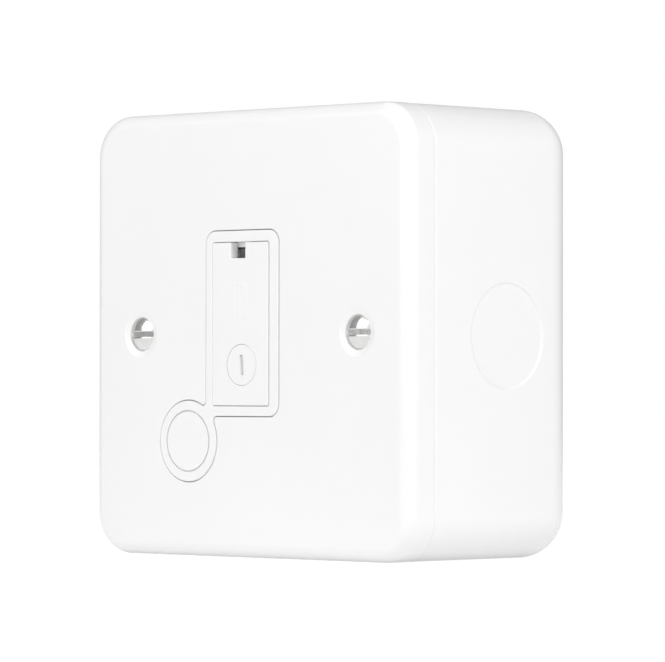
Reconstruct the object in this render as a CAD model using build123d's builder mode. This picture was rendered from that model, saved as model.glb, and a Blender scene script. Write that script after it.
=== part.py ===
"""Single-gang fused connection unit with a front flex outlet, on a deep surface-mounting box.

Frame: X to the right, Z up, the front faces -Y, and the wall is the plane Y = 0. The origin is the
middle of the box's flat back. A depth is a distance in front of the wall, so depth d lies at Y = -d.
"""

import os
from math import radians, tan

from build123d import *

# Outline, with the plate's corners
unit_width = 88.0
unit_height = 88.0
corner_radius = 8.5

# Surface box
box_corner_radius = 9.0
box_depth = 41.45
box_wall = 2.4
box_floor = 2.4
rear_edge_radius = 8.0
box_rim_radius = 1.0
pillar_radius = 4.5
pillar_drop = 3.5
pillar_rib_width = 1.8
pillar_rib_reach = 3.5
pillar_rib_height = 16.0
pillar_core_radius = 2.1
pillar_core_depth = 22.0
knockout_radius = 10.45
knockout_depth = 21.1
knockout_drop = 0.6
knockout_recess = 0.3
knockout_groove_width = 0.5
knockout_groove_depth = 0.9
fixing_pitch = 50.8
fixing_slot_width = 5.0
fixing_slot_length = 10.0
least_radius = 0.5
match_tolerance = 0.001

# Threaded inserts and plate screws
screw_pitch = 60.3
insert_radius = 3.1
insert_length = 9.0
insert_bore_radius = 1.75
plate_screw_length = 20.0
plate_screw_radius = 1.7
plate_head_radius = 3.3
plate_head_dome = 0.9
plate_cone_angle = 90.0
plate_slot_width = 1.0
plate_slot_depth = 1.1
thread_clearance = 0.05

# Front plate
plate_depth = 7.25
plate_face = 2.8
plate_wall = 2.6
front_edge_radius = 2.8
skirt_edge_radius = 0.3
plate_hole_radius = 2.1
dish_radius = 4.8
dish_depth = 0.7
hub_radius = 4.3
hub_rib_width = 1.6
insert_gap = 0.12
insert_lean = 0.07
insert_edge_radius = 0.25

# Flush insert: carrier frame joined to the round flex outlet
border_left = 1.85
border_right = 2.75
border_top = 2.3
border_bottom = 2.07
frame_corner = 2.6
outlet_reach = 5.03
outlet_drop = 4.98
collar_radius = 8.05
junction_radius = 0.9
outlet_radius = 6.12
outlet_groove_width = 0.25
outlet_groove_depth = 0.4
outlet_web = 1.6
outlet_tube_length = 13.0
outlet_lip_radius = 0.8

# Fuse carrier and its quarter-turn lock
carrier_x = -1.72
carrier_z = 1.83
carrier_corner = 0.5
carrier_wall = 2.0
carrier_gap = 0.1
carrier_lean = 0.05
carrier_edge_radius = 0.25
carrier_ledge = 1.0
notch_shift = -0.63
notch_width = 4.0
notch_height = 3.1
notch_depth = 5.0
notch_undercut = 2.5
notch_wall = 0.8
lock_shift = 0.45
lock_drop = 8.03
lock_head_radius = 4.02
lock_head_thickness = 1.0
lock_gap = 0.06
lock_shank_radius = 2.0
lock_boss_wall = 1.4
lock_boss_length = 2.4
lock_tongue_width = 3.0
lock_engagement = 1.5
lock_tongue_thickness = 1.6
lock_slot_width = 0.8
lock_slot_length = 3.9
lock_slot_depth = 0.6
lock_slot_tilt = 5.0
lock_pocket_room = 0.4
cheek_wrap = 1.6
cheek_inset = 1.8
cheek_room = 0.55
running_gap = 0.16

# Cartridge fuse
fuse_length = 25.4
cap_radius = 3.15
cap_length = 5.5
cap_thickness = 0.3
fuse_gap = 0.1
fuse_room = 0.65
fuse_side_room = 3.8
fuse_end_room = 2.43
clip_room = 2.4

# Contacts, terminals and the mechanism's body
flange_thickness = 2.5
flange_margin = 1.0
flange_corner = 3.0
hub_room = 0.6
body_wall = 2.0
contact_thickness = 0.8
contact_leaf = 0.6
contact_width = 4.5
contact_strap_width = 5.0
contact_overlap = 2.0
contact_grip = 1.4
contact_gap = 0.1
terminal_barrier = 3.3
terminal_width = 8.0
terminal_length = 9.5
terminal_room = 0.1
wire_bore_radius = 2.0
wire_bore_depth = 4.0
wire_entry_radius = 2.6
terminal_screw_radius = 1.7
terminal_screw_length = 7.6
terminal_screw_tip = 0.3
terminal_head_radius = 2.8
terminal_head_height = 1.8
terminal_slot_width = 0.9
terminal_slot_depth = 0.9
link_width = 4.4
link_room = 0.3

# Rear cover and case screws
cover_thickness = 2.0
access_radius = 3.2
column_radius = 4.0
column_merge = 0.3
column_pitch = 16.1
stub_radius = 2.5
stub_length = 8.2
stub_gap = 0.2
case_screw_radius = 1.45
case_screw_bite = 3.2
case_head_radius = 2.7
case_head_height = 1.8
case_hole_radius = 1.7

# Flex clamp
clamp_pitch = 13.2
clamp_room = 0.3
clamp_outlet_gap = 1.45
clamp_end_margin = 2.8
clamp_width = 5.0
clamp_thickness = 3.0
clamp_corner = 2.4
clamp_bump = 1.2
clamp_boss_radius = 2.7
clamp_boss_height = 7.0
clamp_saddle_height = 4.4
clamp_saddle_width = 6.5
clamp_screw_radius = 1.45
clamp_screw_tip = 1.0
clamp_head_radius = 2.6
clamp_head_height = 1.8

# Depths in front of the wall
front_depth = box_depth + plate_depth
face_rear = front_depth - plate_face
flange_rear = face_rear - flange_thickness
pillar_top = box_depth - pillar_drop
carrier_rear = front_depth - carrier_wall
ledge_depth = carrier_rear - carrier_gap
boss_end = carrier_rear - lock_boss_length
tongue_front = boss_end - running_gap
tongue_rear = tongue_front - lock_tongue_thickness
fuse_depth = tongue_rear - fuse_room - cap_radius
body_rear = fuse_depth - cap_radius - clip_room - contact_thickness
cover_rear = body_rear - cover_thickness
notch_floor = front_depth - notch_depth
contact_face = body_rear + contact_thickness
terminal_depth = flange_rear - contact_face - terminal_room
clamp_seat = flange_rear - clamp_boss_height
wire_depth = contact_face + terminal_depth - wire_bore_depth

# Places seen from the front
tunnel_width = 2 * (cap_radius + fuse_side_room)
tunnel_height = fuse_length + 2 * fuse_end_room
tunnel_right = carrier_x + tunnel_width / 2
tunnel_left = carrier_x - tunnel_width / 2
tunnel_top = carrier_z + tunnel_height / 2
carrier_width = tunnel_width + 2 * carrier_ledge - 2 * carrier_gap
carrier_height = tunnel_height + 2 * carrier_ledge - 2 * carrier_gap
carrier_top = carrier_z + carrier_height / 2
notch_x = carrier_x + notch_shift
lock_x = carrier_x + lock_shift
lock_z = carrier_z - lock_drop
frame_left = carrier_x - carrier_width / 2 - border_left
frame_right = carrier_x + carrier_width / 2 + border_right
frame_top = carrier_top + border_top
frame_bottom = carrier_z - carrier_height / 2 - border_bottom
outlet_x = frame_left - outlet_reach
outlet_z = frame_bottom - outlet_drop
lock_tongue_reach = tunnel_right - lock_x + lock_engagement
lock_swing = (lock_tongue_reach**2 + (lock_tongue_width / 2) ** 2) ** 0.5
lock_swing_rise = (lock_swing**2 - (tunnel_right - lock_x) ** 2) ** 0.5
pocket_width = terminal_width + 2 * terminal_room
pocket_length = terminal_length + 2 * terminal_room
pillar_pitch = pocket_width + terminal_barrier
supply_row = frame_top + body_wall + pocket_length / 2
load_row = frame_bottom - body_wall - pocket_length / 2
neutral_x = carrier_x + pillar_pitch
earth_near_x = carrier_x - pillar_pitch
earth_far_x = carrier_x - 2 * pillar_pitch
earth_mid_x = (earth_near_x + earth_far_x) / 2
block_left = earth_far_x - pocket_width / 2 - body_wall
load_left = carrier_x - pocket_width / 2 - body_wall
block_top = supply_row + pocket_length / 2 + body_wall
block_bottom = load_row - pocket_length / 2 - body_wall
link_left = frame_right + link_room
channel_right = link_left + link_width + link_room
block_right = max(neutral_x + pocket_width / 2, channel_right) + body_wall
tube_radius = cap_radius - cap_thickness
screw_places = [(-screw_pitch / 2, 0), (screw_pitch / 2, 0)]
terminal_places = [
    (earth_far_x, supply_row),
    (earth_near_x, supply_row),
    (carrier_x, supply_row),
    (neutral_x, supply_row),
    (carrier_x, load_row),
    (neutral_x, load_row),
]
column_left = frame_left - column_radius + column_merge
column_right = block_right + column_radius - column_merge
column_top = frame_top - column_radius + column_merge
column_places = [
    (column_left, column_top),
    (column_left, column_top - column_pitch),
    (column_right, supply_row),
    (column_right, load_row),
]
clamp_x = frame_left - clamp_room - clamp_end_margin - clamp_pitch / 2
clamp_z = outlet_z + collar_radius + clamp_outlet_gap + clamp_width / 2
clamp_places = [(clamp_x - clamp_pitch / 2, clamp_z), (clamp_x + clamp_pitch / 2, clamp_z)]
flange_left = block_left - flange_margin
flange_right = column_right + column_radius + flange_margin
flange_top = block_top + flange_margin
flange_bottom = min(block_bottom, outlet_z - collar_radius) - flange_margin

os.makedirs("parts", exist_ok=True)


def level(depth, shift=0):
    """Plane parallel to the wall, at a depth in front of it, seen from the front, shifted to the right."""
    return Plane((shift, -depth, 0), x_dir=(1, 0, 0), z_dir=(0, -1, 0))


def span(left, right, bottom, top):
    """Rectangle between four edges, in the sketch that is open."""
    with Locations(((left + right) / 2, (bottom + top) / 2)):
        Rectangle(right - left, top - bottom)


def insert_outline(depth, grow, shift=0):
    """Carrier frame joined to the round collar, grown by a gap all round and shifted to the right."""
    edge_left = frame_left - grow
    edge_bottom = frame_bottom - grow
    rim = collar_radius + grow
    centre = Vector(outlet_x, outlet_z, 0)
    with BuildSketch(level(depth, shift)) as outline:
        span(edge_left, frame_right + grow, edge_bottom, frame_top + grow)
        free_corners = outline.vertices().sort_by(Axis((0, 0, 0), (1, 1, 0)))[1:]
        fillet(free_corners, frame_corner + grow)
        with Locations((outlet_x, outlet_z)):
            Circle(rim)
        on_left = outline.vertices().filter_by(lambda v: abs(v.X - edge_left) < match_tolerance)
        on_bottom = outline.vertices().filter_by(lambda v: abs(v.Y - edge_bottom) < match_tolerance)
        corners = [v for v in on_left + on_bottom if abs((Vector(v) - centre).length - rim) < match_tolerance]
        fillet(corners, junction_radius - grow)
    return outline.sketch


def body_outline(depth):
    """Plan of the mechanism's body: tunnel, two terminal rows, neutral channel and screw columns."""
    with BuildSketch(level(depth)) as plan:
        span(frame_left, block_right, frame_bottom, frame_top)
        span(block_left, block_right, frame_top, block_top)
        span(load_left, block_right, block_bottom, frame_bottom)
        with Locations(*column_places):
            Circle(column_radius)
    return plan.sketch


# Surface box: hollow moulding with two free-standing screw pillars and round knock-outs
rear_radius = min(rear_edge_radius, box_corner_radius - least_radius)
floor_radius = max(rear_radius - box_wall, least_radius)
inner_corner = max(box_corner_radius - box_wall, floor_radius + least_radius)
knockout_planes = [
    Plane((unit_width / 2, -knockout_depth, -knockout_drop), x_dir=(0, 1, 0), z_dir=(1, 0, 0)),
    Plane((-unit_width / 2, -knockout_depth, -knockout_drop), x_dir=(0, 1, 0), z_dir=(-1, 0, 0)),
    Plane((0, -knockout_depth, unit_height / 2), x_dir=(1, 0, 0), z_dir=(0, 0, 1)),
    Plane((0, -knockout_depth, -unit_height / 2), x_dir=(1, 0, 0), z_dir=(0, 0, -1)),
]
back_plane = Plane((0, 0, 0), x_dir=(1, 0, 0), z_dir=(0, 1, 0))

with BuildPart() as box_space:
    with BuildSketch(level(box_floor)):
        RectangleRounded(unit_width - 2 * box_wall, unit_height - 2 * box_wall, inner_corner)
    extrude(amount=box_depth)
    fillet(box_space.faces().sort_by(Axis.Y)[-1].edges(), floor_radius)

with BuildPart() as back_box:
    with BuildSketch(level(0)):
        RectangleRounded(unit_width, unit_height, box_corner_radius)
    extrude(amount=box_depth)
    fillet(back_box.faces().sort_by(Axis.Y)[-1].edges(), rear_radius)
    fillet(back_box.faces().sort_by(Axis.Y)[0].edges(), box_rim_radius)
    add(box_space.part, mode=Mode.SUBTRACT)
    with BuildSketch(level(box_floor / 2)):
        with Locations(*screw_places):
            Circle(pillar_radius)
    extrude(amount=pillar_top - box_floor / 2)
    with BuildSketch(level(box_floor / 2)):
        with Locations(*screw_places):
            Rectangle(pillar_rib_width, 2 * (pillar_radius + pillar_rib_reach))
    extrude(amount=pillar_rib_height)
    with Locations(level(pillar_top)):
        with Locations(*screw_places):
            CounterBoreHole(pillar_core_radius, insert_radius, insert_length, pillar_core_depth)
    with BuildSketch(level(0)):
        with GridLocations(fixing_pitch, fixing_pitch, 2, 2):
            SlotOverall(fixing_slot_length, fixing_slot_width)
    extrude(amount=box_floor, mode=Mode.SUBTRACT)
    for side in knockout_planes:
        with BuildSketch(side):
            Circle(knockout_radius)
        extrude(amount=-knockout_recess, mode=Mode.SUBTRACT)
    groove_planes = [side.offset(knockout_groove_depth - box_wall) for side in knockout_planes]
    for groove_plane in groove_planes + [back_plane]:
        with BuildSketch(groove_plane):
            Circle(knockout_radius)
            Circle(knockout_radius - knockout_groove_width, mode=Mode.SUBTRACT)
        extrude(amount=-knockout_groove_depth, mode=Mode.SUBTRACT)
back_box.part.label = "back_box"
export_step(back_box.part, "parts/back_box.step")

# Threaded brass inserts, pressed flush into the pillars
for side, place in zip(("left", "right"), screw_places):
    with BuildPart() as box_insert:
        with BuildSketch(level(pillar_top - insert_length)):
            with Locations(place):
                Circle(insert_radius)
                Circle(insert_bore_radius, mode=Mode.SUBTRACT)
        extrude(amount=insert_length)
    box_insert.part.label = f"box_insert_{side}"
    export_step(box_insert.part, f"parts/box_insert_{side}.step")

# Front plate: skirted moulding with the insert's aperture, dished screw holes, hubs and screw stubs
edge_radius = min(front_edge_radius, corner_radius - least_radius, plate_depth - 2 * skirt_edge_radius)
plate_inner_corner = max(corner_radius - plate_wall, least_radius)
dish_sphere = (dish_radius**2 + dish_depth**2) / (2 * dish_depth)
seat_depth = front_depth - dish_depth
rib_length = (unit_width - plate_wall - screw_pitch) / 2
rib_middle = screw_pitch / 2 + rib_length / 2

with BuildPart() as plate_space:
    with BuildSketch(level(face_rear)):
        RectangleRounded(unit_width - 2 * plate_wall, unit_height - 2 * plate_wall, plate_inner_corner)
    extrude(amount=-plate_depth)

with BuildPart() as front_plate:
    with BuildSketch(level(box_depth)):
        RectangleRounded(unit_width, unit_height, corner_radius)
    extrude(amount=plate_depth)
    fillet(front_plate.faces().sort_by(Axis.Y)[0].edges(), edge_radius)
    fillet(front_plate.faces().sort_by(Axis.Y)[-1].edges(), skirt_edge_radius)
    add(plate_space.part, mode=Mode.SUBTRACT)
    with BuildSketch(level(box_depth)):
        with Locations(*screw_places):
            Circle(hub_radius)
        with Locations((rib_middle, 0), (-rib_middle, 0)):
            Rectangle(rib_length, hub_rib_width)
    extrude(amount=face_rear - box_depth + plate_face / 2)
    with BuildSketch(level(face_rear - stub_length)):
        with Locations(*column_places):
            Circle(stub_radius)
            Circle(case_screw_radius + thread_clearance, mode=Mode.SUBTRACT)
    extrude(amount=stub_length)
    aperture = insert_outline(face_rear, insert_gap, insert_lean)
    extrude(aperture, amount=plate_face, mode=Mode.SUBTRACT)
    fillet(front_plate.faces().sort_by(Axis.Y)[0].inner_wires()[0].edges(), insert_edge_radius)
    with Locations(*[(x, -seat_depth - dish_sphere, z) for x, z in screw_places]):
        Sphere(dish_sphere, mode=Mode.SUBTRACT)
    with Locations(level(seat_depth)):
        with Locations(*screw_places):
            seat_radius = plate_head_radius + thread_clearance
            CounterSinkHole(plate_hole_radius, seat_radius, plate_depth, plate_cone_angle)
front_plate.part.label = "front_plate"
export_step(front_plate.part, "parts/front_plate.step")

# Plate screws: raised countersunk heads with a level slot
dome_sphere = (plate_head_radius**2 + plate_head_dome**2) / (2 * plate_head_dome)
cone_depth = (plate_head_radius - plate_screw_radius) / tan(radians(plate_cone_angle / 2))
for side, (x, z) in zip(("left", "right"), screw_places):
    with BuildPart() as plate_screw:
        with BuildSketch(Plane((x, -seat_depth, z))):
            with BuildLine():
                dome_top = (0, -plate_head_dome)
                rim = (plate_head_radius, 0)
                neck = (plate_screw_radius, cone_depth)
                tip = (plate_screw_radius, plate_screw_length)
                RadiusArc(dome_top, rim, -dome_sphere)
                Polyline(rim, neck, tip, (0, plate_screw_length), dome_top)
            make_face()
        revolve(axis=Axis((x, 0, z), (0, 1, 0)))
        with BuildSketch(level(seat_depth + plate_head_dome)):
            with Locations((x, z)):
                Rectangle(2 * plate_head_radius, plate_slot_width)
        extrude(amount=-plate_slot_depth, mode=Mode.SUBTRACT)
    plate_screw.part.label = f"plate_screw_{side}"
    export_step(plate_screw.part, f"parts/plate_screw_{side}.step")

# Fuse housing: flush insert, flange, carrier tunnel, terminal pockets and flex outlet in one moulding
with BuildPart() as fuse_housing:
    extrude(insert_outline(face_rear, 0), amount=plate_face)
    fillet(fuse_housing.faces().sort_by(Axis.Y)[0].edges(), insert_edge_radius)
    with BuildSketch(level(flange_rear)):
        with Locations(((flange_left + flange_right) / 2, (flange_bottom + flange_top) / 2)):
            RectangleRounded(flange_right - flange_left, flange_top - flange_bottom, flange_corner)
        with Locations(*screw_places):
            Circle(hub_radius + hub_room, mode=Mode.SUBTRACT)
        with Locations((rib_middle, 0), (-rib_middle, 0)):
            Rectangle(rib_length, 2 * (hub_radius + hub_room), mode=Mode.SUBTRACT)
    extrude(amount=flange_thickness)
    extrude(body_outline(body_rear), amount=flange_rear - body_rear)
    with BuildSketch(level(face_rear - outlet_tube_length)):
        with Locations((outlet_x, outlet_z)):
            Circle(collar_radius)
    extrude(amount=outlet_tube_length)
    with BuildSketch(level(clamp_seat)):
        with Locations(*clamp_places):
            Circle(clamp_boss_radius)
    extrude(amount=clamp_boss_height)
    with BuildSketch(level(flange_rear - clamp_saddle_height)):
        with Locations((clamp_x, clamp_z)):
            with GridLocations(0, clamp_width / 2, 1, 2):
                Rectangle(clamp_saddle_width, clamp_width / 4)
    extrude(amount=clamp_saddle_height)
    with BuildSketch(level(ledge_depth, carrier_lean)):
        with Locations((carrier_x, carrier_z)):
            opening = (carrier_width + 2 * carrier_gap, carrier_height + 2 * carrier_gap)
            RectangleRounded(*opening, carrier_corner + carrier_gap)
    extrude(amount=front_depth - ledge_depth, mode=Mode.SUBTRACT)
    fillet(fuse_housing.faces().sort_by(Axis.Y)[0].inner_wires()[0].edges(), insert_edge_radius)
    with BuildSketch(level(body_rear)):
        with Locations((carrier_x, carrier_z)):
            Rectangle(tunnel_width, tunnel_height)
    extrude(amount=front_depth - body_rear, mode=Mode.SUBTRACT)
    with BuildSketch(level(tongue_rear - lock_pocket_room)):
        pocket_reach = lock_x + lock_swing + lock_pocket_room
        pocket_low = lock_z - lock_tongue_width / 2 - lock_pocket_room
        span(carrier_x, pocket_reach, pocket_low, lock_z + lock_swing_rise + lock_pocket_room)
    extrude(amount=lock_tongue_thickness + 2 * lock_pocket_room, mode=Mode.SUBTRACT)
    with BuildSketch(level(body_rear)):
        for x, z in terminal_places[2:]:
            with Locations((x, z)):
                Rectangle(pocket_width, pocket_length)
        with Locations((earth_mid_x, supply_row)):
            Rectangle(pocket_width + pillar_pitch, pocket_length)
    extrude(amount=flange_rear - body_rear, mode=Mode.SUBTRACT)
    with BuildSketch(level(body_rear)):
        strap_room = contact_strap_width / 2 + link_room
        span(carrier_x - strap_room, carrier_x + strap_room, load_row, supply_row)
    extrude(amount=contact_thickness + terminal_room, mode=Mode.SUBTRACT)
    with BuildSketch(level(body_rear)):
        span(frame_right, channel_right, load_row, supply_row)
    extrude(amount=flange_rear - body_rear, mode=Mode.SUBTRACT)
    with BuildSketch(Plane.XY.offset(supply_row)):
        with Locations(*[(x, -wire_depth) for x, z in terminal_places[:4]]):
            Circle(wire_entry_radius)
    extrude(amount=block_top - supply_row + flange_margin, mode=Mode.SUBTRACT)
    with BuildSketch(Plane.XY.offset(load_row)):
        with Locations(*[(x, -wire_depth) for x, z in terminal_places[4:]]):
            Circle(wire_entry_radius)
    extrude(amount=block_bottom - load_row - flange_margin, mode=Mode.SUBTRACT)
    with BuildSketch(level(face_rear - outlet_tube_length)):
        with Locations((outlet_x, outlet_z)):
            Circle(outlet_radius)
    extrude(amount=front_depth - outlet_web - face_rear + outlet_tube_length, mode=Mode.SUBTRACT)
    with BuildSketch(level(front_depth)):
        with Locations((outlet_x, outlet_z)):
            Circle(outlet_radius)
            Circle(outlet_radius - outlet_groove_width, mode=Mode.SUBTRACT)
    extrude(amount=-outlet_groove_depth, mode=Mode.SUBTRACT)
    with BuildSketch(level(face_rear - stub_length - stub_gap)):
        with Locations(*column_places):
            Circle(stub_radius + stub_gap)
    extrude(amount=stub_length + stub_gap, mode=Mode.SUBTRACT)
    with BuildSketch(level(body_rear)):
        with Locations(*column_places):
            Circle(case_hole_radius)
    extrude(amount=front_depth - body_rear - plate_face, mode=Mode.SUBTRACT)
    with BuildSketch(level(clamp_seat)):
        with Locations(*clamp_places):
            Circle(clamp_screw_radius + thread_clearance)
    extrude(amount=clamp_boss_height, mode=Mode.SUBTRACT)
    outlet_rims = fuse_housing.edges().filter_by(GeomType.CIRCLE)
    outlet_rims = outlet_rims.filter_by(lambda e: abs(e.radius - outlet_radius) < match_tolerance)
    fillet(outlet_rims.sort_by(Axis.Y)[-1], outlet_lip_radius)
fuse_housing.part.label = "fuse_housing"
export_step(fuse_housing.part, "parts/fuse_housing.step")

# Rear cover: insulating plate on the housing, with holes over the terminal screws
with BuildPart() as terminal_cover:
    extrude(body_outline(cover_rear), amount=cover_thickness)
    with BuildSketch(level(cover_rear)):
        with Locations(*terminal_places):
            Circle(access_radius)
        with Locations(*column_places):
            Circle(case_hole_radius)
    extrude(amount=cover_thickness, mode=Mode.SUBTRACT)
terminal_cover.part.label = "terminal_cover"
export_step(terminal_cover.part, "parts/terminal_cover.step")


def rear_screws(places, head_depth, radius, length, head_radius, head_height):
    """Slotted pan-head screws driven from behind: the heads lie behind head_depth."""
    with BuildPart() as screws:
        with BuildSketch(level(head_depth - head_height)):
            with Locations(*places):
                Circle(head_radius)
        extrude(amount=head_height)
        with BuildSketch(level(head_depth)):
            with Locations(*places):
                Circle(radius)
        extrude(amount=length)
        with BuildSketch(level(head_depth - head_height)):
            with Locations(*places):
                Rectangle(2 * head_radius, terminal_slot_width)
        extrude(amount=terminal_slot_depth, mode=Mode.SUBTRACT)
    return screws.part


case_screw_length = face_rear - stub_length + case_screw_bite - cover_rear
case_screws = rear_screws(
    column_places, cover_rear, case_screw_radius, case_screw_length, case_head_radius, case_head_height
)
case_screws.label = "case_screws"
export_step(case_screws, "parts/case_screws.step")

# Pillar screws of the six terminals, backed off so that the wire bores are open
screw_tip = wire_depth - wire_bore_radius - terminal_screw_tip
terminal_screws = rear_screws(
    terminal_places,
    screw_tip - terminal_screw_length,
    terminal_screw_radius,
    terminal_screw_length,
    terminal_head_radius,
    terminal_head_height,
)
terminal_screws.label = "terminal_screws"
export_step(terminal_screws, "parts/terminal_screws.step")


def drill_terminals(places):
    """Wire bores up and down through the blocks, and threaded holes from behind into them."""
    for x, z in places:
        with Locations((x, -wire_depth, z)):
            Cylinder(wire_bore_radius, 2 * terminal_length, mode=Mode.SUBTRACT)
        with Locations(Plane((x, -contact_face, z), z_dir=(0, 1, 0))):
            Hole(terminal_screw_radius + thread_clearance, wire_depth - contact_face)


# Brass pillar terminals for the live side
live_terminals = {"live_supply_terminal": terminal_places[2], "live_load_terminal": terminal_places[4]}
for name, place in live_terminals.items():
    with BuildPart() as terminal:
        with BuildSketch(level(contact_face)):
            with Locations(place):
                Rectangle(terminal_width, terminal_length)
        extrude(amount=terminal_depth)
        drill_terminals([place])
    terminal.part.label = name
    export_step(terminal.part, f"parts/{name}.step")

# Earth bar: one brass block with two bores
with BuildPart() as earth_bar:
    with BuildSketch(level(contact_face)):
        with Locations((earth_mid_x, supply_row)):
            Rectangle(terminal_width + pillar_pitch, terminal_length)
    extrude(amount=terminal_depth)
    drill_terminals(terminal_places[:2])
earth_bar.part.label = "earth_bar"
export_step(earth_bar.part, "parts/earth_bar.step")

# Neutral bar: two pillars joined by a link beside the carrier tunnel
with BuildPart() as neutral_bar:
    with BuildSketch(level(contact_face)):
        with Locations((neutral_x, supply_row), (neutral_x, load_row)):
            Rectangle(terminal_width, terminal_length)
    extrude(amount=terminal_depth)
    with BuildSketch(level(contact_face)):
        link_low = load_row + terminal_length / 2 - contact_overlap
        link_high = supply_row - terminal_length / 2 + contact_overlap
        span(link_left, link_left + link_width, link_low, link_high)
    extrude(amount=contact_thickness)
    drill_terminals([(neutral_x, supply_row), (neutral_x, load_row)])
neutral_bar.part.label = "neutral_bar"
export_step(neutral_bar.part, "parts/neutral_bar.step")

# Fuse contacts: a clip that is open to the front, with a flat strap under its terminal
cap_middle = fuse_length / 2 - cap_length / 2
clip_inner = cap_radius + contact_gap
clip_outer = clip_inner + contact_leaf
contact_rows = {"supply_contact": (1, supply_row), "load_contact": (-1, load_row)}
for name, (direction, row) in contact_rows.items():
    clip_z = carrier_z + direction * cap_middle
    strap_end = row - direction * (terminal_length / 2 - contact_overlap)
    with BuildPart() as contact:
        with BuildSketch(level(body_rear)):
            with Locations((carrier_x, clip_z)):
                Rectangle(2 * clip_outer, contact_width)
            with Locations((carrier_x, (clip_z + strap_end) / 2)):
                Rectangle(contact_strap_width, abs(strap_end - clip_z))
        extrude(amount=contact_thickness)
        with BuildSketch(level(body_rear)):
            with Locations((carrier_x, clip_z)):
                with GridLocations(clip_inner + clip_outer, 0, 2, 1):
                    Rectangle(contact_leaf, contact_width)
        extrude(amount=fuse_depth + contact_grip - body_rear)
        leaf_tips = contact.faces().sort_by(Axis.Y)[:2]
        chamfer([e for tip in leaf_tips for e in tip.edges().filter_by(Axis.Z)], contact_leaf / 3)
    contact.part.label = name
    export_step(contact.part, f"parts/{name}.step")

# Fuse carrier: flush front wall with an undercut prise notch, lock boss and two cheeks that hold the fuse
cheek_rear = fuse_depth - cheek_wrap
cheek_top = carrier_z + fuse_length / 2 - cap_length - cheek_room
cheek_bottom = carrier_z - fuse_length / 2 + cap_length + cheek_room
cheek_edge = min(carrier_x - cheek_inset, lock_x - lock_tongue_width / 2 - lock_pocket_room)
cheek_left = tunnel_left + running_gap
cheek_right = tunnel_right - running_gap
lock_bore = lock_shank_radius + lock_gap
lock_seat = lock_head_radius + lock_gap

with BuildPart() as fuse_carrier:
    with BuildSketch(level(carrier_rear)):
        with Locations((carrier_x, carrier_z)):
            RectangleRounded(carrier_width, carrier_height, carrier_corner)
    extrude(amount=carrier_wall)
    with BuildSketch(level(carrier_rear)):
        span(notch_x - notch_width / 2, notch_x + notch_width / 2, carrier_top - notch_height, carrier_top)
    extrude(amount=carrier_wall, mode=Mode.SUBTRACT)
    fillet(fuse_carrier.faces().sort_by(Axis.Y)[0].edges(), carrier_edge_radius)
    with BuildSketch(level(notch_floor - notch_wall)):
        pocket_half = notch_width / 2 + notch_undercut
        shell_half = pocket_half + notch_wall
        pocket_base = carrier_top - notch_height
        span(notch_x - shell_half, notch_x + shell_half, pocket_base - notch_wall, tunnel_top - running_gap)
    extrude(amount=carrier_rear - notch_floor + notch_wall)
    with BuildSketch(level(notch_floor)):
        span(notch_x - pocket_half, notch_x + pocket_half, pocket_base, carrier_top)
    extrude(amount=carrier_rear - notch_floor, mode=Mode.SUBTRACT)
    with BuildSketch(level(boss_end)):
        with Locations((lock_x, lock_z)):
            Circle(lock_bore + lock_boss_wall)
    extrude(amount=lock_boss_length + carrier_wall / 4)
    with BuildSketch(level(cheek_rear)):
        span(cheek_left, cheek_edge, cheek_bottom, cheek_top)
        span(carrier_x + cheek_inset, cheek_right, lock_z + lock_swing + lock_pocket_room, cheek_top)
    extrude(amount=carrier_rear - cheek_rear + carrier_wall / 4)
    with BuildSketch(Plane.XY.offset(carrier_z)):
        with Locations((carrier_x, -fuse_depth)):
            Circle(tube_radius + fuse_gap)
    extrude(amount=fuse_length, both=True, mode=Mode.SUBTRACT)
    with Locations(level(front_depth)):
        with Locations((lock_x, lock_z)):
            CounterBoreHole(lock_bore, lock_seat, lock_head_thickness, front_depth - boss_end)
fuse_carrier.part.label = "fuse_carrier"
export_step(fuse_carrier.part, "parts/fuse_carrier.step")

# Carrier lock: slotted disc on a shank, with a tongue that points up when it is open
with BuildPart() as carrier_lock:
    with BuildSketch(level(front_depth - lock_head_thickness)):
        with Locations((lock_x, lock_z)):
            Circle(lock_head_radius)
    extrude(amount=lock_head_thickness)
    with BuildSketch(level(tongue_rear)):
        with Locations((lock_x, lock_z)):
            Circle(lock_shank_radius)
    extrude(amount=front_depth - lock_head_thickness - tongue_rear)
    with BuildSketch(level(tongue_rear)):
        with Locations((lock_x, lock_z + lock_tongue_reach / 2)):
            Rectangle(lock_tongue_width, lock_tongue_reach)
    extrude(amount=lock_tongue_thickness)
    with BuildSketch(level(front_depth)):
        with Locations((lock_x, lock_z)):
            Rectangle(lock_slot_width, lock_slot_length, rotation=lock_slot_tilt)
    extrude(amount=-lock_slot_depth, mode=Mode.SUBTRACT)
carrier_lock.part.label = "carrier_lock"
export_step(carrier_lock.part, "parts/carrier_lock.step")

# Cartridge fuse: ceramic tube with a plated cap pressed on each end
fuse_end = fuse_length / 2
with BuildPart() as fuse_tube:
    with BuildSketch(Plane.XY.offset(carrier_z - fuse_end + cap_thickness)):
        with Locations((carrier_x, -fuse_depth)):
            Circle(tube_radius)
    extrude(amount=fuse_length - 2 * cap_thickness)
fuse_tube.part.label = "fuse_tube"
export_step(fuse_tube.part, "parts/fuse_tube.step")

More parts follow.
